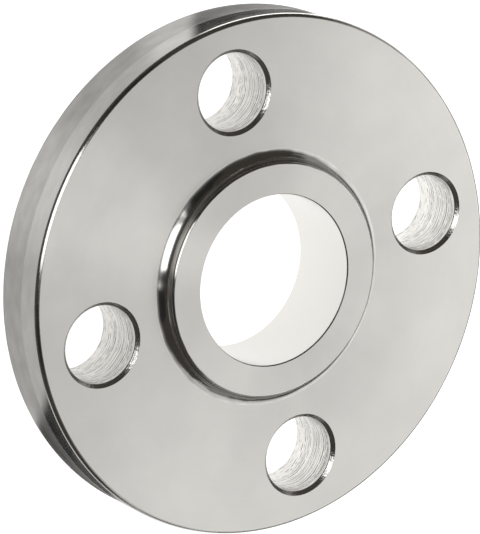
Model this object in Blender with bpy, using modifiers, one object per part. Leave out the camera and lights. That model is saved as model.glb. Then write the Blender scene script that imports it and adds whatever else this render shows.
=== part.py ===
# Slip-on flange: a round steel plate with a low hub, a bore that a pipe slides into,
# four bolt holes and a raised gasket face. It is turned from one forging and then drilled.
#
# Frame: metres, +Z up. The origin is the centre of the gasket face, on which the flange lies.
# +Z runs along the axis to the hub, and +X passes midway between two bolt holes.

import math

import bmesh
import bpy

# Driving dimensions
PLATE_THICKNESS = 0.0133
RAISED_FACE_DIAMETER = 0.0508
RAISED_FACE_HEIGHT = 0.0016
HUB_DIAMETER = 0.0486
HUB_HEIGHT = 0.0026
HUB_DRAFT_DEG = 7.0
BORE_DIAMETER = 0.0353
BOLT_CIRCLE_DIAMETER = 0.0795
BOLT_HOLE_DIAMETER = 0.0159
BOLT_HOLE_COUNT = 4
HOLE_TO_RIM = 0.00605

# Edges
HUB_FILLET_RADIUS = 0.0022
HUB_EDGE_RADIUS = 0.00055
BORE_CHAMFER = 0.00025
RIM_FRONT_RADIUS = 0.00085
RIM_REAR_CHAMFER = 0.0003
FRONT_BAND_WIDTH = 0.0058
REAR_BAND_STEP = 0.00005
RAISED_FACE_EDGE_RADIUS = 0.0003
RAISED_FACE_FILLET_RADIUS = 0.0004
HOLE_MOUTH_WIDTH = 0.00078
HOLE_MOUTH_DEPTH = 0.0007
HOLE_REAR_CHAMFER = 0.0002

# How finely the round shapes are faceted
TURNED_STEPS = 128
HOLE_STEPS = 48
FILLET_STEPS = 8
ROUNDING_STEPS = 4
SMALL_EDGE_STEPS = 3
SMOOTH_ANGLE_DEG = 32.0

# A cutter stands this far out of the plate, so that no two faces lie in one plane
CUTTER_REACH = 0.001

# The plate is as wide as the bolt holes and the metal outside them need
OUTSIDE_DIAMETER = BOLT_CIRCLE_DIAMETER + BOLT_HOLE_DIAMETER + 2 * HOLE_TO_RIM

# Levels along the axis, and radii, that the profile uses
PLATE_REAR = RAISED_FACE_HEIGHT
PLATE_FRONT = PLATE_REAR + PLATE_THICKNESS
HUB_TOP = PLATE_FRONT + HUB_HEIGHT
RIM_RADIUS = OUTSIDE_DIAMETER / 2
BORE_RADIUS = BORE_DIAMETER / 2
HUB_RADIUS = HUB_DIAMETER / 2
RAISED_FACE_RADIUS = RAISED_FACE_DIAMETER / 2
HOLE_RADIUS = BOLT_HOLE_DIAMETER / 2


def arc(centre_r, centre_z, radius, start_deg, end_deg, steps):
    """Points of a round stretch of the profile, both ends included."""
    points = []
    for i in range(steps + 1):
        angle = math.radians(start_deg + (end_deg - start_deg) * i / steps)
        points.append((centre_r + radius * math.cos(angle), centre_z + radius * math.sin(angle)))
    return points


def hub_profile():
    """The bore's mouth, the hub's end face and its drafted side, down to the plate's front face."""
    draft = math.radians(HUB_DRAFT_DEG)
    edge_r = HUB_RADIUS - HUB_EDGE_RADIUS
    edge_z = HUB_TOP - HUB_EDGE_RADIUS
    side_top_r = edge_r + HUB_EDGE_RADIUS * math.cos(draft)
    side_top_z = edge_z + HUB_EDGE_RADIUS * math.sin(draft)
    fillet_z = PLATE_FRONT + HUB_FILLET_RADIUS
    side_end_z = fillet_z - HUB_FILLET_RADIUS * math.sin(draft)
    side_end_r = side_top_r + (side_top_z - side_end_z) * math.tan(draft)
    fillet_r = side_end_r + HUB_FILLET_RADIUS * math.cos(draft)
    mouth = [(BORE_RADIUS, HUB_TOP - BORE_CHAMFER), (BORE_RADIUS + BORE_CHAMFER, HUB_TOP)]
    edge = arc(edge_r, edge_z, HUB_EDGE_RADIUS, 90.0, HUB_DRAFT_DEG, ROUNDING_STEPS)
    fillet = arc(fillet_r, fillet_z, HUB_FILLET_RADIUS, 180.0 + HUB_DRAFT_DEG, 270.0, FILLET_STEPS)
    return mouth + edge + fillet


def rim_profile():
    """The outer edge: rounded at the front, two turned bands that meet at a fine step, and a rear chamfer."""
    front = arc(
        RIM_RADIUS - RIM_FRONT_RADIUS, PLATE_FRONT - RIM_FRONT_RADIUS, RIM_FRONT_RADIUS, 90.0, 0.0, ROUNDING_STEPS
    )
    band_z = PLATE_FRONT - FRONT_BAND_WIDTH
    rear_r = RIM_RADIUS - REAR_BAND_STEP
    step = [(RIM_RADIUS, band_z), (rear_r, band_z - REAR_BAND_STEP)]
    rear = [(rear_r, PLATE_REAR + RIM_REAR_CHAMFER), (rear_r - RIM_REAR_CHAMFER, PLATE_REAR)]
    return front + step + rear


def raised_face_profile():
    """The plate's rear face meets the raised face in a small fillet, and the bore opens at its middle."""
    fillet = arc(
        RAISED_FACE_RADIUS + RAISED_FACE_FILLET_RADIUS,
        PLATE_REAR - RAISED_FACE_FILLET_RADIUS,
        RAISED_FACE_FILLET_RADIUS,
        90.0,
        180.0,
        SMALL_EDGE_STEPS,
    )
    edge = arc(
        RAISED_FACE_RADIUS - RAISED_FACE_EDGE_RADIUS,
        RAISED_FACE_EDGE_RADIUS,
        RAISED_FACE_EDGE_RADIUS,
        0.0,
        -90.0,
        SMALL_EDGE_STEPS,
    )
    mouth = [(BORE_RADIUS + BORE_CHAMFER, 0.0), (BORE_RADIUS, BORE_CHAMFER)]
    return fillet + edge + mouth


def hole_profile():
    """Half of the bolt hole's section: the wide mouth at the front, the wall and a small rear chamfer."""
    mouth_slope = HOLE_MOUTH_WIDTH / HOLE_MOUTH_DEPTH
    top_r = HOLE_RADIUS + HOLE_MOUTH_WIDTH + CUTTER_REACH * mouth_slope
    bottom_r = HOLE_RADIUS + HOLE_REAR_CHAMFER + CUTTER_REACH
    return [
        (0.0, PLATE_FRONT + CUTTER_REACH),
        (top_r, PLATE_FRONT + CUTTER_REACH),
        (HOLE_RADIUS, PLATE_FRONT - HOLE_MOUTH_DEPTH),
        (HOLE_RADIUS, PLATE_REAR + HOLE_REAR_CHAMFER),
        (bottom_r, PLATE_REAR - CUTTER_REACH),
        (0.0, PLATE_REAR - CUTTER_REACH),
    ]


def turned(name, outline, closed, steps, collection):
    """An object that turns the outline, given as (radius, height), once round the Z axis."""
    mesh = bpy.data.meshes.new(name)
    shape = bmesh.new()
    corners = [shape.verts.new((r, 0.0, z)) for r, z in outline]
    for first, second in zip(corners, corners[1:]):
        shape.edges.new((first, second))
    if closed:
        shape.edges.new((corners[-1], corners[0]))
    shape.to_mesh(mesh)
    shape.free()
    obj = bpy.data.objects.new(name, mesh)
    collection.objects.link(obj)
    screw = obj.modifiers.new("Turn", "SCREW")
    screw.axis = "Z"
    screw.steps = steps
    screw.render_steps = steps
    screw.use_merge_vertices = True
    screw.merge_threshold = 0.00001
    screw.use_smooth_shade = True
    return obj


def drill_bolt_holes(flange, cutters):
    """Cuts the bolt holes, evenly spaced on the bolt circle and straddling the centre lines."""
    pitch = 2 * math.pi / BOLT_HOLE_COUNT
    for i in range(BOLT_HOLE_COUNT):
        angle = pitch * (i + 0.5)
        cutter = turned(f"bolt_hole_cutter_{i + 1}", hole_profile(), False, HOLE_STEPS, cutters)
        cutter.location.x = BOLT_CIRCLE_DIAMETER / 2 * math.cos(angle)
        cutter.location.y = BOLT_CIRCLE_DIAMETER / 2 * math.sin(angle)
        cutter.hide_render = True
        cutter.display_type = "WIRE"
        drill = flange.modifiers.new(f"Bolt hole {i + 1}", "BOOLEAN")
        drill.operation = "DIFFERENCE"
        drill.solver = "EXACT"
        drill.object = cutter


def shade(obj):
    """Makes the turned and drilled shape the object's own mesh, smooth all over except at its true corners."""
    graph = bpy.context.evaluated_depsgraph_get()
    finished = bpy.data.meshes.new_from_object(obj.evaluated_get(graph))
    obj.modifiers.clear()
    obj.data = finished
    finished.shade_smooth()
    finished.set_sharp_from_angle(angle=math.radians(SMOOTH_ANGLE_DEG))


def machined_steel():
    """Bare stainless steel with a fine turned finish."""
    material = bpy.data.materials.new("machined_stainless_steel")
    material.use_nodes = True
    shader = material.node_tree.nodes["Principled BSDF"]
    shader.inputs["Base Color"].default_value = (0.62, 0.61, 0.59, 1.0)
    shader.inputs["Metallic"].default_value = 1.0
    shader.inputs["Roughness"].default_value = 0.32
    return material


def clear_scene():
    for obj in list(bpy.data.objects):
        bpy.data.objects.remove(obj, do_unlink=True)


def new_collection(name):
    collection = bpy.data.collections.new(name)
    bpy.context.scene.collection.children.link(collection)
    return collection


def build():
    clear_scene()
    parts = new_collection("slip_on_flange")
    cutters = new_collection("cutters")
    outline = hub_profile() + rim_profile() + raised_face_profile()
    flange = turned("slip_on_flange", outline, True, TURNED_STEPS, parts)
    flange.data.materials.append(machined_steel())
    drill_bolt_holes(flange, cutters)
    shade(flange)


build()
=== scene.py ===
# %% [markdown]
# # Dressing a slip-on flange
# A slip-on flange is one piece of stainless steel. It is turned on a lathe, so nearly every surface
# is a ring round one axis, and then drilled for its bolts. What makes it look like steel is how each
# cut was left: the plate's face is finely turned, the hub's foot and the edges are polished, and the
# drilled walls keep the marks of the drill. This script remakes the shape with fine round surfaces,
# gives each cut its own finish and lights it the way bright metal is photographed.

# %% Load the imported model
import math

import bmesh
import bpy
from mathutils import Matrix, Quaternion, Vector


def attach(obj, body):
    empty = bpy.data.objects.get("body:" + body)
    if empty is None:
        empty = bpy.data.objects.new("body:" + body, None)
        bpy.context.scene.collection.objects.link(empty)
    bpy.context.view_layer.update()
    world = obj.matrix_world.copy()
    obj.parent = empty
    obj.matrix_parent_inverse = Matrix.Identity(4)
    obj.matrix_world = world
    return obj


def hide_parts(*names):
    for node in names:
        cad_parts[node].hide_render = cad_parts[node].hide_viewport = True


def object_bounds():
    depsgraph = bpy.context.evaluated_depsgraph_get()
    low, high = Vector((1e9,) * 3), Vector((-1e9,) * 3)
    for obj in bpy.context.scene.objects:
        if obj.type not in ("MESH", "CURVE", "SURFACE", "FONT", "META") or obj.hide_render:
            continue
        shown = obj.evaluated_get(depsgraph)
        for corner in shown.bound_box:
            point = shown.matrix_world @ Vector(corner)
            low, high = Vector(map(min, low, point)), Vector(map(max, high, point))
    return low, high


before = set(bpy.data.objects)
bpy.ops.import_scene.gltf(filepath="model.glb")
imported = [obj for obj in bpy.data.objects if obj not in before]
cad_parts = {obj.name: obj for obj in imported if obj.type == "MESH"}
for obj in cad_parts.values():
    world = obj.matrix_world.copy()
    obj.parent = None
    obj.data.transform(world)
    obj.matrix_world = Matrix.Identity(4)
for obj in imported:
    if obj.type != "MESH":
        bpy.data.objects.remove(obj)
cad_low, cad_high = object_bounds()
MM = 0.001
RIM_RADIUS = (cad_high.x - cad_low.x) / 2
HUB_TOP = cad_high.z
print("flange across and high, mm:", round(2 * RIM_RADIUS / MM, 2), round(HUB_TOP / MM, 2))

# %% [markdown]
# ## The camera
# The photograph looks down on the hub side from about 54 degrees above the plate, with a long lens
# and the camera rolled, so that the near edge of the plate is at the left of the picture. A camera
# is easiest to place by what it looks at: a point, a direction, a distance and a roll.

# %% Camera
VIEW_AZIMUTH = math.radians(7.16)
VIEW_ELEVATION = math.radians(54.125)
VIEW_ROLL = math.radians(111.695)
VIEW_DISTANCE = 0.6959
VIEW_TARGET = Vector((-0.00174, -0.00032, 0.007))
VIEW_LENS_MM = 231.2
VIEW_CLIP_END = 20.0


def aim_camera():
    forward = Vector((
        math.cos(VIEW_ELEVATION) * math.cos(VIEW_AZIMUTH),
        math.cos(VIEW_ELEVATION) * math.sin(VIEW_AZIMUTH),
        -math.sin(VIEW_ELEVATION),
    ))
    camera = bpy.data.objects.new("camera", bpy.data.cameras.new("camera"))
    bpy.context.scene.collection.objects.link(camera)
    camera.data.lens = VIEW_LENS_MM
    camera.rotation_mode = "QUATERNION"
    camera.location = VIEW_TARGET - forward * VIEW_DISTANCE
    camera.rotation_quaternion = forward.to_track_quat("-Z", "Y") @ Quaternion((0, 0, 1), VIEW_ROLL)
    camera.data.clip_end = VIEW_CLIP_END
    bpy.context.scene.camera = camera
    return forward


view_forward = aim_camera()
print("camera looks along", [round(c, 3) for c in view_forward])

# %% [markdown]
# ## The section
# A turned part is one section swept round an axis. The section here is drawn as a flat face with
# sharp corners, because corners are what a drawing gives. The Bevel operator then rounds each
# corner by its own radius, which gives true arcs without working out their points.

# %% Sizes of the section
BORE_RADIUS = 17.65 * MM
HUB_RADIUS = 24.3 * MM
HUB_HEIGHT = 2.6 * MM
HUB_DRAFT = math.radians(7)
HUB_FILLET_RADIUS = 2.2 * MM
HUB_EDGE_RADIUS = 0.55 * MM
BORE_CHAMFER = 0.25 * MM
BORE_CHAMFER_LEAN = math.radians(38)
RIM_FRONT_RADIUS = 0.85 * MM
RIM_REAR_CHAMFER = 0.3 * MM
FRONT_BAND_WIDTH = 5.8 * MM
REAR_BAND_STEP = 0.05 * MM
RAISED_FACE_RADIUS = 25.4 * MM
RAISED_FACE_HEIGHT = 1.6 * MM
RAISED_FACE_EDGE = 0.3 * MM
RAISED_FACE_FILLET = 0.4 * MM
PLATE_FRONT = HUB_TOP - HUB_HEIGHT
PLATE_REAR = RAISED_FACE_HEIGHT
GROOVE_PITCH = 0.8 * MM
GROOVE_DEPTH = 0.05 * MM
GROOVE_ROUNDING = 0.98

# How many flats each rounded corner gets, and the whole turn
HUB_EDGE_FLATS = 8
FILLET_FLATS = 24
RIM_FLATS = 12
GASKET_FILLET_FLATS = 6
FINE_EDGE_FLATS = 4
TURNED_STEPS = 384


def tangent_length(radius, corner_angle):
    """How far from a corner an arc of this radius starts."""
    return radius / math.tan(corner_angle / 2)


def section_corners():
    """Corners as (radius, height, setback, flats), from the bore's mouth round to the bore."""
    hub_foot_radius = HUB_RADIUS + (HUB_HEIGHT - HUB_EDGE_RADIUS) * math.tan(HUB_DRAFT)
    hub_corner_radius = HUB_RADIUS - HUB_EDGE_RADIUS * math.tan(HUB_DRAFT)
    right = math.pi / 2
    hub_angle = right + HUB_DRAFT
    rear_radius = RIM_RADIUS - REAR_BAND_STEP
    band_height = PLATE_FRONT - FRONT_BAND_WIDTH
    return [
        (BORE_RADIUS, HUB_TOP - BORE_CHAMFER, 0, 0),
        (BORE_RADIUS + BORE_CHAMFER * math.tan(BORE_CHAMFER_LEAN), HUB_TOP, 0, 0),
        (hub_corner_radius, HUB_TOP, tangent_length(HUB_EDGE_RADIUS, hub_angle), HUB_EDGE_FLATS),
        (hub_foot_radius, PLATE_FRONT, tangent_length(HUB_FILLET_RADIUS, hub_angle), FILLET_FLATS),
        (RIM_RADIUS, PLATE_FRONT, tangent_length(RIM_FRONT_RADIUS, right), RIM_FLATS),
        (RIM_RADIUS, band_height, 0, 0),
        (rear_radius, band_height - REAR_BAND_STEP, 0, 0),
        (rear_radius, PLATE_REAR, RIM_REAR_CHAMFER, 1),
        (RAISED_FACE_RADIUS, PLATE_REAR, tangent_length(RAISED_FACE_FILLET, right), GASKET_FILLET_FLATS),
        (RAISED_FACE_RADIUS, 0.0, tangent_length(RAISED_FACE_EDGE, right), FINE_EDGE_FLATS),
        (BORE_RADIUS, 0.0, BORE_CHAMFER, 1),
    ]


def gasket_grooves():
    """Corners of the scallops that a round-nosed tool leaves in the raised face, from its edge inwards."""
    outer = RAISED_FACE_RADIUS - 2 * RAISED_FACE_EDGE
    inner = BORE_RADIUS + 2 * BORE_CHAMFER
    count = int((outer - inner) / GROOVE_PITCH)
    setback = GROOVE_ROUNDING * math.hypot(GROOVE_PITCH / 2, 2 * GROOVE_DEPTH)
    corners = [(outer, 0.0, 0, 0)]
    for i in range(count):
        start = outer - i * GROOVE_PITCH
        corners.append((start - GROOVE_PITCH / 2, 2 * GROOVE_DEPTH, setback, FINE_EDGE_FLATS))
        corners.append((start - GROOVE_PITCH, 0.0, 0, 0))
    return corners


def draw_section(corners):
    """A bmesh with the section as one face in the XZ plane, its corners rounded."""
    section = bmesh.new()
    placed = [(section.verts.new((r, 0.0, z)), setback, flats) for r, z, setback, flats in corners]
    section.faces.new([vert for vert, setback, flats in placed])
    for vert, setback, flats in placed:
        if flats:
            bmesh.ops.bevel(
                section, geom=[vert], offset=setback, offset_type="OFFSET", affect="VERTICES",
                segments=flats, profile=0.5, material=-1,
            )
    return section


corners = section_corners()
flange_section = draw_section(corners[:-1] + gasket_grooves() + corners[-1:])
print("points round the section:", len(flange_section.verts))

# %% [markdown]
# ## Turning it
# Spin sweeps the section once round the axis, as the lathe turns the bar against the tool. Only the
# outline is swept, so its flat face is deleted first. A full turn ends where it began, so the last
# ring is merged with the first, and the normals are then made to point out of the steel.

# %% Turn the section
MERGE_DISTANCE = 0.0005 * MM


def turn(section, steps):
    """Sweeps a section's outline once round the Z axis into a closed skin."""
    bmesh.ops.delete(section, geom=section.faces[:], context="FACES_ONLY")
    bmesh.ops.spin(
        section, geom=section.verts[:] + section.edges[:], cent=(0, 0, 0), axis=(0, 0, 1),
        dvec=(0, 0, 0), angle=math.tau, steps=steps, use_merge=True, use_duplicate=False,
    )
    bmesh.ops.remove_doubles(section, verts=section.verts[:], dist=MERGE_DISTANCE)
    bmesh.ops.recalc_face_normals(section, faces=section.faces[:])
    return section


def make_object(name, shape):
    """A scene object that holds the bmesh."""
    mesh = bpy.data.meshes.new(name)
    shape.to_mesh(mesh)
    shape.free()
    obj = bpy.data.objects.new(name, mesh)
    bpy.context.scene.collection.objects.link(obj)
    return obj


flange = make_object("machined_flange", turn(flange_section, TURNED_STEPS))
print("turned faces:", len(flange.data.polygons))

# %% [markdown]
# ## The bolt holes
# Each hole is drilled through the plate, and its mouth is opened with a countersink. A drill is a
# turned thing too, so the same two helpers make it: a wide mouth, the wall and a small rear edge. A
# Boolean then does what the drill does, and its result is made the flange's own mesh.

# %% Drill the plate
BOLT_CIRCLE_RADIUS = 39.75 * MM
HOLE_RADIUS = 7.95 * MM
HOLE_COUNT = 4
MOUTH_WIDTH = 0.78 * MM
MOUTH_DEPTH = 0.7 * MM
MOUTH_EDGE_RADIUS = 0.25 * MM
HOLE_REAR_CHAMFER = 0.2 * MM
DRILL_REACH = 1.0 * MM
HOLE_STEPS = 160
HOLE_ANGLES = [math.tau * (i + 0.5) / HOLE_COUNT for i in range(HOLE_COUNT)]
HOLE_AXES = [(BOLT_CIRCLE_RADIUS * math.cos(a), BOLT_CIRCLE_RADIUS * math.sin(a)) for a in HOLE_ANGLES]


def drill_corners():
    spread = MOUTH_WIDTH / MOUTH_DEPTH
    mouth_setback = tangent_length(MOUTH_EDGE_RADIUS, math.pi - math.atan(spread))
    top = PLATE_FRONT + DRILL_REACH
    bottom = PLATE_REAR - DRILL_REACH
    return [
        (0.0, top, 0, 0),
        (HOLE_RADIUS + MOUTH_WIDTH + DRILL_REACH * spread, top, 0, 0),
        (HOLE_RADIUS, PLATE_FRONT - MOUTH_DEPTH, mouth_setback, FINE_EDGE_FLATS),
        (HOLE_RADIUS, PLATE_REAR + HOLE_REAR_CHAMFER, 0, 0),
        (HOLE_RADIUS + HOLE_REAR_CHAMFER + DRILL_REACH, bottom, 0, 0),
        (0.0, bottom, 0, 0),
    ]


def drill(body, axes):
    """Cuts a bolt hole at each axis and makes the result the body's own mesh."""
    tools = []
    for x, y in axes:
        shape = turn(draw_section(drill_corners()), HOLE_STEPS)
        bmesh.ops.translate(shape, verts=shape.verts[:], vec=(x, y, 0))
        tools.append(make_object("drill", shape))
        cut = body.modifiers.new("drill", "BOOLEAN")
        cut.operation = "DIFFERENCE"
        cut.solver = "EXACT"
        cut.object = tools[-1]
    graph = bpy.context.evaluated_depsgraph_get()
    body.data = bpy.data.meshes.new_from_object(body.evaluated_get(graph))
    body.modifiers.clear()
    for tool in tools:
        bpy.data.objects.remove(tool)


drill(flange, HOLE_AXES)
print("faces after drilling:", len(flange.data.polygons))

# %% [markdown]
# ## Which cut made each face
# Steel has one colour, but every cut leaves its own finish. The faces are therefore sorted by where
# they lie and how they stand: the plate, the hub's end, the two bands of the rim, the bore, a bolt
# hole's wall or its mouth, the gasket side, or a rounded edge. Reading this from the shape is safer
# than keeping lists of faces, because a Boolean numbers the faces anew.

# %% Sort the faces by cut
CUTS = [
    "turned_face", "polished_edge", "front_band", "rear_band",
    "bore_wall", "drilled_wall", "hole_mouth", "gasket_face",
]
NEAR = 0.02 * MM
LEVEL = 0.9995
UPRIGHT = 0.02


def cut_of(centre, normal):
    """The name of the cut that left a face with this centre and normal."""
    radius = math.hypot(centre.x, centre.y)
    upright = abs(normal.z) < UPRIGHT
    grooved = centre.z < 2 * GROOVE_DEPTH and radius < RAISED_FACE_RADIUS - 2 * RAISED_FACE_EDGE + NEAR
    from_hole = min(math.hypot(centre.x - x, centre.y - y) for x, y in HOLE_AXES) - HOLE_RADIUS
    if normal.z > LEVEL:
        return "turned_face"
    if normal.z < -LEVEL or grooved and radius > BORE_RADIUS + BORE_CHAMFER:
        return "gasket_face"
    if upright and radius < BORE_RADIUS + NEAR:
        return "bore_wall"
    if upright and radius > RIM_RADIUS - REAR_BAND_STEP - NEAR:
        return "front_band" if centre.z > PLATE_FRONT - FRONT_BAND_WIDTH else "rear_band"
    if from_hole < MOUTH_WIDTH + NEAR:
        return "drilled_wall" if upright else "hole_mouth"
    return "polished_edge"


def sort_faces(mesh):
    counts = dict.fromkeys(CUTS, 0)
    for face in mesh.polygons:
        cut = cut_of(face.center, face.normal)
        face.material_index = CUTS.index(cut)
        counts[cut] += 1
    return counts


print("faces by cut:", sort_faces(flange.data))

# %% [markdown]
# ## Smooth shading
# A turned surface is round, but the mesh is made of small flats. Smooth shading bends the light across
# them, and edges sharper than a limit stay crisp. The big flat faces must not be pulled round by the
# small roundings beside them, so a Weighted Normal modifier lets the larger face decide.

# %% Shade the flange
SHARP_ANGLE = math.radians(28)


def shade(obj):
    obj.data.shade_smooth()
    obj.data.set_sharp_from_angle(angle=SHARP_ANGLE)
    weighted = obj.modifiers.new("weighted_normals", "WEIGHTED_NORMAL")
    weighted.keep_sharp = True
    weighted.mode = "FACE_AREA"


shade(flange)
print("sharp edges:", sum(edge.use_edge_sharp for edge in flange.data.edges))

# %% [markdown]
# ## Writing shader maths
# A finish is a small sum: so much of this ring pattern, plus a little of that grain. Blender needs a
# node for each step of such a sum. The two classes below let the sum be written as Python writes it,
# and put the nodes in place by themselves.

# %% Helpers for shader nodes
class Value:
    """A number that changes over the surface: one output of a node."""

    def __init__(self, bench, socket):
        self.bench = bench
        self.socket = socket

    def __add__(self, other):
        return self.bench.math("ADD", self, other)

    def __sub__(self, other):
        return self.bench.math("SUBTRACT", self, other)

    def __rsub__(self, other):
        return self.bench.math("SUBTRACT", other, self)

    def __mul__(self, other):
        return self.bench.math("MULTIPLY", self, other)

    __radd__ = __add__
    __rmul__ = __mul__


class Bench:
    """One material's nodes, added and joined by name."""

    def __init__(self, tree):
        self.tree = tree
        tree.nodes.clear()

    def node(self, kind, settings=None, inputs=None):
        made = self.tree.nodes.new(kind)
        for name, setting in (settings or {}).items():
            setattr(made, name, setting)
        for name, value in (inputs or {}).items():
            self.join(value, made.inputs[name])
        return made

    def join(self, value, socket):
        if isinstance(value, Value):
            value = value.socket
        if isinstance(value, bpy.types.NodeSocket):
            self.tree.links.new(value, socket)
        else:
            socket.default_value = value

    def value(self, kind, output, settings=None, inputs=None):
        return Value(self, self.node(kind, settings, inputs).outputs[output])

    def math(self, operation, *terms):
        return self.value("ShaderNodeMath", 0, {"operation": operation}, dict(enumerate(terms)))

    def vector(self, operation, *terms):
        made = self.node("ShaderNodeVectorMath", {"operation": operation}, dict(enumerate(terms)))
        return made.outputs["Value" if operation in ("LENGTH", "DOT_PRODUCT") else "Vector"]

    def ramp(self, value, low, high):
        """0 at low and below, 1 at high and above, and smooth between."""
        inputs = {"Value": value, "From Min": low, "From Max": high}
        return self.value("ShaderNodeMapRange", 0, {"interpolation_type": "SMOOTHSTEP"}, inputs)

    def place(self):
        """The point's place on the piece, in metres."""
        return self.node("ShaderNodeTexCoord").outputs["Object"]

    def height(self):
        """How high the point is over the table."""
        return self.value("ShaderNodeSeparateXYZ", "Z", None, {"Vector": self.place()})

    def radius(self):
        """How far the point is from the flange's axis."""
        flat = self.vector("MULTIPLY", self.place(), (1, 1, 0))
        return Value(self, self.vector("LENGTH", flat))

    def outward(self):
        """The direction from the flange's axis to the point, one unit long."""
        return self.vector("NORMALIZE", self.vector("MULTIPLY", self.place(), (1, 1, 0)))

    def grain(self, stretch, size, detail=2.0, roughness=0.5, read_from=None):
        """Noise about 0.5, as large as size, drawn out by stretch in x, y and z."""
        spread = tuple(1 / (size * share) for share in stretch)
        where = self.vector("MULTIPLY", self.place() if read_from is None else read_from, spread)
        inputs = {"Vector": where, "Scale": 1.0, "Detail": detail, "Roughness": roughness}
        return self.value("ShaderNodeTexNoise", 0, {"noise_dimensions": "3D"}, inputs)

    def lines(self, along, pitch, detail=2.0, roughness=0.6):
        """Noise about 0.5 that changes in one direction only, such as tool marks."""
        inputs = {"W": along * (1 / pitch), "Scale": 1.0, "Detail": detail, "Roughness": roughness}
        return self.value("ShaderNodeTexNoise", 0, {"noise_dimensions": "1D"}, inputs)


# %% [markdown]
# ## The steel
# All finishes are the same metal: a warm grey that reflects about six tenths of the light. They differ
# in roughness, in which way the marks run, and in the marks themselves. On turned steel the marks run
# round the axis, so a highlight is drawn out across them. That is anisotropy, and with no Tangent
# joined Blender takes the direction round the piece's own Z axis, which is the lathe's.

# %% One maker for all the finishes
STEEL = (0.626, 0.611, 0.581)
ACROSS_THE_MARKS = 0.25


def steel(name, roughness, anisotropy, marks):
    """A steel. marks(bench) gives its shade about 1, the roughness to add and the height in metres."""
    material = bpy.data.materials.new(name)
    material.use_nodes = True
    bench = Bench(material.node_tree)
    shade_value, roughness_change, height = marks(bench)
    colour = bench.vector("SCALE", STEEL)
    bench.join(shade_value, colour.node.inputs["Scale"])
    bump = bench.node("ShaderNodeBump", None, {"Strength": 1.0, "Distance": 1.0, "Height": height})
    surface = bench.node("ShaderNodeBsdfPrincipled", None, {
        "Base Color": colour,
        "Metallic": 1.0,
        "Roughness": roughness_change + roughness,
        "Anisotropic": anisotropy,
        "Anisotropic Rotation": ACROSS_THE_MARKS,
        "Normal": bump.outputs["Normal"],
    })
    output = bench.node("ShaderNodeOutputMaterial")
    bench.join(surface.outputs["BSDF"], output.inputs["Surface"])
    print("finish", name, "takes", len(material.node_tree.nodes), "nodes")
    return material


print("all finishes share the colour", STEEL)

# %% [markdown]
# ## The turned faces
# The plate and the hub's end are faced with a fine feed. The single marks are too fine to see at this
# distance, but they give the satin look and the soft sheen that runs out from the hub. The marks are
# a little rougher towards the hub, unevenly from one direction to the next, which breaks the sheen
# into faint rays. A slight mottling keeps the grey from looking painted.

# %% Finish of the plate and the hub's end
FEED = 0.12 * MM
FEED_DEPTH = 0.0006 * MM
BROAD_FEED = 14 * FEED
MOTTLE_SIZE = 13 * MM
RAY_WIDTH = 0.16
RAYS_START = 28 * MM
RAYS_END = 46 * MM


def faced_marks(bench):
    radius = bench.radius()
    fine = bench.lines(radius, FEED)
    broad = bench.lines(radius, BROAD_FEED, detail=3.0)
    mottle = bench.grain((1, 1, 1), MOTTLE_SIZE, detail=3.0)
    rays = bench.grain((1, 1, 1), RAY_WIDTH, detail=3.0, read_from=bench.outward())
    by_hub = 1 - bench.ramp(radius, RAYS_START, RAYS_END)
    shade_value = 1 + 0.02 * (broad - 0.5) + 0.25 * (mottle - 0.5)
    roughness_change = 0.05 * (mottle - 0.5) + by_hub * (0.05 + 0.06 * (rays - 0.5))
    return shade_value, roughness_change, FEED_DEPTH * (fine - 0.5)


turned_face = steel("turned_face", roughness=0.292, anisotropy=0.6, marks=faced_marks)

# %% [markdown]
# ## The polished foot and edges
# The hub's side, the fillet at its foot and the rounded edges are smoother than the faces, so they
# mirror the room: dark round most of the hub, with a white streak where the light is overhead.

# %% Finish of the fillet, the hub's side and the edges
POLISH_GRAIN = 1.2 * MM
POLISH_DEPTH = 0.004 * MM
SMUDGE_SIZE = 9 * MM
WAVE_SIZE = 3.5 * MM
WAVE_DEPTH = 0.14 * MM
RING_PITCH = 0.25 * MM
RING_DEPTH = 0.002 * MM
RING_WANDER = 0.3 * MM
WAVES_END = 30 * MM


def polished_marks(bench):
    """Rings and smudges all over, and waves that are ten times as deep at the hub as at the rim."""
    fine = bench.grain((1, 1, 1), POLISH_GRAIN, detail=3.0)
    smudge = bench.grain((1, 1, 1), SMUDGE_SIZE, detail=3.0)
    wave = bench.grain((1, 1, 1), WAVE_SIZE, detail=0.0)
    by_hub = 1 - 0.9 * bench.ramp(bench.radius(), WAVES_END - MM, WAVES_END + MM)
    rings = bench.lines(bench.radius() + RING_WANDER * smudge, RING_PITCH)
    shade_value = 0.86 + 0.04 * (fine - 0.5) + 0.6 * (rings - 0.5) + 0.5 * (smudge - 0.5)
    height = by_hub * (WAVE_DEPTH * wave) + POLISH_DEPTH * fine + RING_DEPTH * rings
    return shade_value, 0.05 * (fine - 0.5), height


polished_edge = steel("polished_edge", roughness=0.17, anisotropy=0.6, marks=polished_marks)

# %% [markdown]
# ## The rim
# The rim was turned in two passes. The front band is the smoother of the two, and the rear band keeps
# a coarser feed, so it mirrors the room less sharply.

# %% Finish of the rim's two bands
CLOUD_SIZE = 5 * MM
# Heights between which painted shade darkens the rim's lowest edge
EDGE_SHADE_BOTTOM = 1.9 * MM
EDGE_SHADE_TOP = 2.3 * MM


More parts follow.
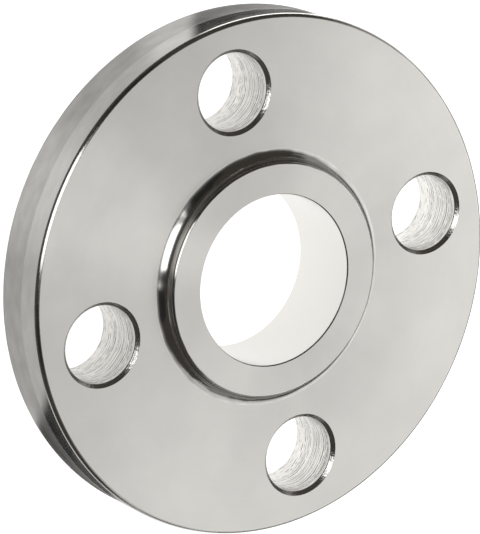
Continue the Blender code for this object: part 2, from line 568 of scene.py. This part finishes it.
def band_marks(base, pitch, depth, spread, cloud):
    """Feed lines of a pitch and depth, clouds, and painted shade in patches along the plate's rear edge."""
    def marks(bench):
        feed = bench.lines(bench.height(), pitch)
        mottle = bench.grain((1, 1, 0.5), CLOUD_SIZE, detail=4.0)
        # Painted shade: the lowest strip of the band, just above the gap under the plate, is darkened in
        # patches
        edge_shade = bench.ramp(mottle, 0.45, 0.6) * (1 - bench.ramp(bench.height(), EDGE_SHADE_BOTTOM, EDGE_SHADE_TOP))
        shade_value = base + spread * (feed - 0.5) + cloud * (mottle - 0.5) - 0.6 * edge_shade
        return shade_value, 0.1 * (mottle - 0.5), depth * (feed - 0.5)
    return marks


smooth_pass = band_marks(base=1.0, pitch=0.25 * MM, depth=0.0006 * MM, spread=0.05, cloud=0.3)
coarse_pass = band_marks(base=0.87, pitch=0.4 * MM, depth=0.002 * MM, spread=0.08, cloud=0.5)
front_band = steel("front_band", roughness=0.15, anisotropy=0.5, marks=smooth_pass)
rear_band = steel("rear_band", roughness=0.34, anisotropy=0.4, marks=coarse_pass)

# %% [markdown]
# ## The bore and the bolt holes
# The bore is turned as smooth as the plate. A drill leaves rougher walls: fine scratches that run
# round the hole, uneven because the drill wanders and its chips rub.

# %% Finish of the bore and the drilled walls
BORE_MOTTLE_SIZE = 4 * MM
FINEST_DEPTH = 0.0002 * MM
SCRATCH_PITCH = 0.35 * MM
SCRATCH_DEPTH = 0.012 * MM
SCRATCH_WANDER = 0.8 * MM
LONG_SCRATCH_PITCH = 0.9 * MM
LONG_SCRATCH_WANDER = 1.2 * MM
RUB_SIZE = 1.5 * MM
STAIN_SIZE = 5 * MM


def bored_marks(bench):
    mottle = bench.grain((1, 1, 0.4), BORE_MOTTLE_SIZE, detail=3.0)
    return 1.03 + 0.03 * (mottle - 0.5), 0.08 * (mottle - 0.5), FINEST_DEPTH * mottle


def drilled_marks(bench):
    """Short scratches where the chips rub, most of them higher up, and a few long torn ones."""
    height = bench.height()
    wander = bench.grain((1, 1, 1), STAIN_SIZE)
    scratch = bench.lines(height + SCRATCH_WANDER * wander, SCRATCH_PITCH, detail=3.0, roughness=0.8)
    rub = bench.grain((1, 1, 0.25), RUB_SIZE, detail=4.0, roughness=0.65)
    upper = bench.ramp(height, 3 * MM, 9 * MM)
    deep = bench.ramp(scratch, 0.5, 0.6) * bench.ramp(rub + 0.12 * upper, 0.47, 0.6)
    tear = bench.lines(height + LONG_SCRATCH_WANDER * wander, LONG_SCRATCH_PITCH, detail=4.0, roughness=0.7)
    torn = bench.ramp(tear, 0.64, 0.67) * (1 - bench.ramp(tear, 0.67, 0.7))
    stain = bench.grain((1, 1, 0.4), STAIN_SIZE)
    shade_value = 1.05 - 0.95 * deep - 0.35 * torn + 0.4 * (stain - 0.5)
    return shade_value, 0.1 * deep, SCRATCH_DEPTH * (0.5 - scratch)


bore_wall = steel("bore_wall", roughness=0.3, anisotropy=0.3, marks=bored_marks)
drilled_wall = steel("drilled_wall", roughness=0.34, anisotropy=0.0, marks=drilled_marks)

# %% [markdown]
# ## The mouths of the holes
# A countersink chatters, so its cone has fine rings and small waves, and they break its highlight up.
# The rings run round each hole's own axis. The four holes lie alike about the flange's axis, so taking
# the point's place without its signs lays all four over one, and one distance then serves them all.

# %% Finish of the mouths
CHATTER_SIZE = 0.5 * MM
CHATTER_DEPTH = 0.04 * MM
MOUTH_WAVE_SIZE = 2 * MM
MOUTH_WAVE_DEPTH = 0.05 * MM
MOUTH_RING_PITCH = 0.2 * MM
MOUTH_RING_DEPTH = 0.02 * MM


def mouth_marks(bench):
    beside = bench.vector("SUBTRACT", bench.vector("ABSOLUTE", bench.place()), (*HOLE_AXES[0], 0))
    from_axis = Value(bench, bench.vector("LENGTH", bench.vector("MULTIPLY", beside, (1, 1, 0))))
    chatter = bench.grain((1, 1, 1), CHATTER_SIZE, detail=3.0)
    wave = bench.grain((1, 1, 1), MOUTH_WAVE_SIZE)
    rings = bench.lines(from_axis + MOUTH_RING_PITCH * wave, MOUTH_RING_PITCH)
    height = CHATTER_DEPTH * chatter + MOUTH_WAVE_DEPTH * wave + MOUTH_RING_DEPTH * rings
    return 0.94 + 0.3 * (rings - 0.5), 0.1 * (chatter - 0.5), height


hole_mouth = steel("hole_mouth", roughness=0.24, anisotropy=0.0, marks=mouth_marks)

# %% [markdown]
# ## The gasket side
# The flange lies on this side. Its shape already has the fine grooves that help a gasket to grip, so
# its finish is plain: a satin steel with a faint mottle.

# %% Finish of the gasket side
GASKET_MOTTLE_SIZE = 6 * MM


def gasket_marks(bench):
    mottle = bench.grain((1, 1, 1), GASKET_MOTTLE_SIZE, detail=3.0)
    return 1 + 0.04 * (mottle - 0.5), 0.06 * (mottle - 0.5), FINEST_DEPTH * mottle


gasket_face = steel("gasket_face", roughness=0.34, anisotropy=0.4, marks=gasket_marks)

# %% [markdown]
# ## The flange takes its finishes
# The materials go into the slots in the order of the cuts. The new piece stands for the imported solid
# and rides on the one body.

# %% Give the flange its finishes
FINISHES = [
    turned_face, polished_edge, front_band, rear_band,
    bore_wall, drilled_wall, hole_mouth, gasket_face,
]
for finish in FINISHES:
    flange.data.materials.append(finish)
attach(flange, "root")
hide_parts("slip_on_flange")
print("finishes:", [material.name for material in flange.data.materials])

# %% [markdown]
# ## The table and the room
# Bright metal shows its room more than itself, so the room is what gets designed. The table is white
# and glows a little, as it does in a photograph on white. The room is dark and a little warm, so the
# polished edges go a dark brown. A Light Path node keeps that out of the picture: the camera itself
# sees a white room.

# %% Table and room
TABLE_SIZE = 8.0
TABLE_GLOW = 1.3
TOWARDS_LIGHT = (1.0, 0.5, 0.0)
ROOM_GLOW = 0.065
ROOM_TINT = (1.0, 0.88, 0.76, 1.0)
WHITE = (1.0, 1.0, 1.0, 1.0)


def glow(name, strength, tone=None):
    """A material that gives its own light. tone(bench), where given, scales it from place to place."""
    material = bpy.data.materials.new(name)
    material.use_nodes = True
    bench = Bench(material.node_tree)
    level = tone(bench) * strength if tone else strength
    shine = bench.node("ShaderNodeEmission", None, {"Color": WHITE, "Strength": level})
    output = bench.node("ShaderNodeOutputMaterial")
    bench.join(shine.outputs["Emission"], output.inputs["Surface"])
    return material


def table_tone(bench):
    """The table is lit a little more beyond the flange and to its left."""
    towards_light = Value(bench, bench.vector("DOT_PRODUCT", bench.place(), TOWARDS_LIGHT))
    return 0.88 + 0.25 * bench.ramp(towards_light, -40 * MM, 50 * MM)


def lay_table():
    shape = bmesh.new()
    bmesh.ops.create_grid(shape, x_segments=1, y_segments=1, size=TABLE_SIZE / 2)
    table = make_object("table", shape)
    table.data.materials.append(glow("white_table", TABLE_GLOW, table_tone))


def darken_room():
    world = bpy.data.worlds.new("room")
    bpy.context.scene.world = world
    world.use_nodes = True
    bench = Bench(world.node_tree)
    seen = bench.node("ShaderNodeLightPath").outputs["Is Camera Ray"]
    mirrored = bench.node("ShaderNodeBackground", None, {"Color": ROOM_TINT, "Strength": ROOM_GLOW})
    white = bench.node("ShaderNodeBackground", None, {"Color": WHITE, "Strength": 1.0})
    both = bench.node("ShaderNodeMixShader", None, {0: seen, 1: mirrored.outputs[0], 2: white.outputs[0]})
    output = bench.node("ShaderNodeOutputWorld")
    bench.join(both.outputs[0], output.inputs["Surface"])


lay_table()
darken_room()
bpy.context.scene.view_settings.view_transform = "Standard"
print("table glow", TABLE_GLOW, "room glow", ROOM_GLOW)

# %% [markdown]
# ## Boards and cards
# A photographer lights metal with white boards. The wide board across the table is what the flat
# faces mirror, so it sets their grey, and its tone falls off towards its top and ends as a lit board's
# does. The wall above it is dim. A small board at each side lights the hub's flanks. A narrow card
# hangs over the flange towards the camera, and it draws the white streak on the hub's foot and edge.
# A grey card joins it to the wall, a dim one carries it on behind, and a black flag on each side of
# it makes the streak stand out.
#
# Each is one flat face whose corners are given by where they are seen from the flange: so many
# degrees round, and so many degrees up. The camera doesn't see any of them.

# %% White boards and cards
AHEAD = Vector((math.cos(VIEW_AZIMUTH), math.sin(VIEW_AZIMUTH), 0.0))
ASIDE = Vector((math.sin(VIEW_AZIMUTH), -math.cos(VIEW_AZIMUTH), 0.0))
UP = Vector((0.0, 0.0, 1.0))
BOARD_DISTANCE = 0.35
CARD_DISTANCE = 0.45


def hide_from_camera(obj):
    """Lets a piece of the stage be seen in mirrored light alone."""
    obj.visible_camera = False
    obj.visible_shadow = False
    obj.visible_diffuse = False


def flat_card(name, corners, strength, tone=None):
    shape = bmesh.new()
    shape.faces.new([shape.verts.new(corner) for corner in corners])
    card = make_object(name, shape)
    card.data.materials.append(glow(name, strength, tone))
    hide_from_camera(card)
    print(name, "glows", strength, "over", round(card.data.polygons[0].area, 3), "square metres")


def standing_board(name, facing, left, right, low, high, strength, tone=None):
    """A board that stands where facing points. Its edges are degrees left, right and up from there."""
    across = Quaternion(UP, math.radians(-facing))
    foot = across @ AHEAD * BOARD_DISTANCE
    side = across @ ASIDE * BOARD_DISTANCE
    corners = [
        foot + side * math.tan(math.radians(turn)) + UP * BOARD_DISTANCE * math.tan(math.radians(level))
        for turn, level in ((left, low), (right, low), (right, high), (left, high))
    ]
    flat_card(name, corners, strength, tone)


def hung_card(name, first, last, strength):
    """A card that hangs overhead. Each end is degrees up from the far side, degrees left and right."""
    corners = []
    for (level, left, right), order in ((first, 1), (last, -1)):
        middle = CARD_DISTANCE * (math.cos(math.radians(level)) * AHEAD + math.sin(math.radians(level)) * UP)
        ends = [
            middle - CARD_DISTANCE * math.tan(math.radians(left)) * ASIDE,
            middle + CARD_DISTANCE * math.tan(math.radians(right)) * ASIDE,
        ]
        corners += ends[::order]
    flat_card(name, corners, strength)


def degrees_right(bench, ahead):
    """How far right of a direction a point is, in degrees round the flange."""
    forward = Value(bench, bench.vector("DOT_PRODUCT", bench.place(), tuple(ahead)))
    right = Value(bench, bench.vector("DOT_PRODUCT", bench.place(), tuple(ASIDE)))
    return bench.math("ARCTAN2", right, forward) * math.degrees(1)


def board_tone(bench):
    """The far board is brightest low and left of its middle, and falls off towards every edge."""
    turn = degrees_right(bench, AHEAD)
    height = bench.height()
    across = 1.035 - 0.035 * bench.ramp(turn, -35, 5) - 0.36 * bench.ramp(turn, -5, 50)
    left_end = 0.55 + 0.45 * bench.ramp(turn, -48, -22)
    upper = 1.25 - 0.44 * bench.ramp(height, 0.34, 0.68) - 0.43 * bench.ramp(height, 0.6, 0.76)
    foot = 0.5 + 0.5 * bench.ramp(height, 0.12, 0.3)
    return across * left_end * upper * foot


FAR_FACING, FAR_LEFT, FAR_RIGHT = 13, -58, 53
BOARD_TOP = 66.5
standing_board("far_board", FAR_FACING, FAR_LEFT, FAR_RIGHT, 22, BOARD_TOP, 1.15, board_tone)
standing_board("wall_above_board", FAR_FACING, FAR_LEFT, FAR_RIGHT, BOARD_TOP, 84, 0.2)
standing_board("left_board", facing=-53, left=-8, right=8, low=0.5, high=35, strength=0.38)
standing_board("right_board", facing=57, left=-7, right=7, low=0.5, high=35, strength=0.3)

# %% [markdown]
# ## The cards overhead
# The streak's card starts almost straight above the flange and widens towards the camera. The flags
# share its edges, so each is given from the card's own side outwards, with a minus sign where that
# side is past the middle.

# %% Cards overhead
OVER_START, START_LEFT, START_RIGHT = 82, 4.3, 6.6
OVER_END, END_LEFT, END_RIGHT = 142, 12.5, 19.5
FLAG_GLOW = 0.02
hung_card("joining_card", (68, 2.5, 4), (OVER_START, 3, 4.5), 0.85)
hung_card("over_card", (OVER_START, START_LEFT, START_RIGHT), (OVER_END, END_LEFT, END_RIGHT), 2.9)
hung_card("low_card", (OVER_END, END_LEFT, END_RIGHT), (178, END_LEFT, END_RIGHT), 0.1)
hung_card("left_flag", (OVER_START, 20, -START_LEFT), (OVER_END, 44, -END_LEFT), FLAG_GLOW)
hung_card("right_flag", (OVER_START, -START_RIGHT, 22), (OVER_END, -END_RIGHT, 48), FLAG_GLOW)

# %% [markdown]
# ## The card round the rim
# The camera looks down on the upright rim, so the rim mirrors the strip of table at its own foot. A
# ring of card lies there. It is grey in the middle and has a black patch at each side, and its tone
# changes softly, as a painted card does. Beyond it the table is dark, which gives the rim's front
# edge its line.

# %% The card at the rim's foot
CARD_HEIGHT = 0.1 * MM
CARD_GAP = 0.3 * MM
CARD_REACH = 36 * MM
GREY_REACH = 27 * MM
DARK_REACH = 1500 * MM
PATCH_REACH = 8.7 * MM
PATCH_TAPER = 0.15 * MM
PATCH_START = 54
PATCH_SOFTNESS = 0.4 * MM
LEFT_SLANT = 0.5 / MM
RIGHT_SLANT = 1.1 / MM
RING_START = -105
RING_END = 100


def ring_card(name, start, end, inner, outer, strength, tone=None):
    """A flat ring sector on the table, from start to end degrees round from the camera's side."""
    shape = bmesh.new()
    turn_to = Matrix.Rotation(math.pi + VIEW_AZIMUTH + math.radians(start), 4, "Z")
    edge = shape.edges.new([
        shape.verts.new(turn_to @ Vector((RIM_RADIUS + inner, 0, CARD_HEIGHT))),
        shape.verts.new(turn_to @ Vector((RIM_RADIUS + outer, 0, CARD_HEIGHT))),
    ])
    bmesh.ops.spin(
        shape, geom=[edge], cent=(0, 0, 0), axis=(0, 0, 1), dvec=(0, 0, 0),
        angle=math.radians(end - start), steps=int(end - start), use_merge=False, use_duplicate=False,
    )
    card = make_object(name, shape)
    card.data.materials.append(glow(name, strength, tone))
    hide_from_camera(card)


def patches(bench, turn, reach):
    """Where the left and the right patch lie: soft-edged, tapering, and slanting away from the rim."""
    patch_end = PATCH_REACH - PATCH_TAPER * (bench.math("ABSOLUTE", turn) - PATCH_START)
    near = 1 - bench.ramp(reach - patch_end, -PATCH_SOFTNESS, PATCH_SOFTNESS)
    left = near * bench.ramp(turn, -89, -84) * (1 - bench.ramp(turn - reach * LEFT_SLANT, -57.5, -53.5))
    right = near * bench.ramp(turn + reach * RIGHT_SLANT, 55.5, 60.5) * (1 - bench.ramp(turn, 82, 90))
    return left, right


def patch_tones(bench, turn, reach, away):
    """The left patch darkens away from the rim and at its far end. The right one is nearly black."""
    left = 0.34 - bench.ramp(reach, 0.8 * MM, 3.2 * MM) * (0.14 + 0.17 * bench.ramp(turn, -86, -66))
    left = left - 0.1 * (1 - bench.ramp(turn, -82, -74))
    right = 0.05 - 0.03 * away + 0.04 * bench.ramp(turn, 60, 80)
    return left, right


def grey_tone(bench, turn, reach, away):
    """The grey is lightest straight towards the camera and beside the left patch, and ends softly."""
    facing = bench.ramp(turn, -22, -6) * (1 - bench.ramp(turn, 4, 20))
    grey = (0.6 + 0.23 * facing + 0.26 * (1 - bench.ramp(turn, -46, -36))) * (0.9 + 0.1 * away)
    return grey * (1 - 0.95 * bench.ramp(reach, GREY_REACH - MM, GREY_REACH + MM))


def white_tone(bench, turn, reach):
    """As white as the table, whiter beyond the left patch, and greyer at the right and the far left."""
    beyond = (1 - bench.ramp(turn, -60, -50)) * bench.ramp(reach, PATCH_REACH - MM, PATCH_REACH + MM)
    far_left = 1 - bench.ramp(turn, -94, -90)
    return TABLE_GLOW + 1.3 * beyond - 0.4 * bench.ramp(turn, 40, 60) - 0.7 * far_left


def foot_tone(bench):
    """A soft grey towards the camera, a black patch at each side of it, and table white beyond."""
    turn = degrees_right(bench, -AHEAD)
    reach = bench.radius() - RIM_RADIUS
    away = bench.ramp(reach, 0.5 * MM, 2.2 * MM)
    middle = bench.ramp(turn, -60, -56) * (1 - bench.ramp(turn, 50, 58))
    left, right = patches(bench, turn, reach)
    left_tone, right_tone = patch_tones(bench, turn, reach, away)
    grey = grey_tone(bench, turn, reach, away)
    white = white_tone(bench, turn, reach)
    card = grey * middle + white * (1 - middle)
    return card * (1 - left - right) + left_tone * left + right_tone * right


ring_card("foot_card", RING_START, RING_END, CARD_GAP, CARD_REACH, 1.0, foot_tone)
ring_card("dark_table", RING_START, RING_END, CARD_REACH, DARK_REACH, 0.05)
print("the foot card reaches", round(CARD_REACH / MM, 1), "mm from the rim")
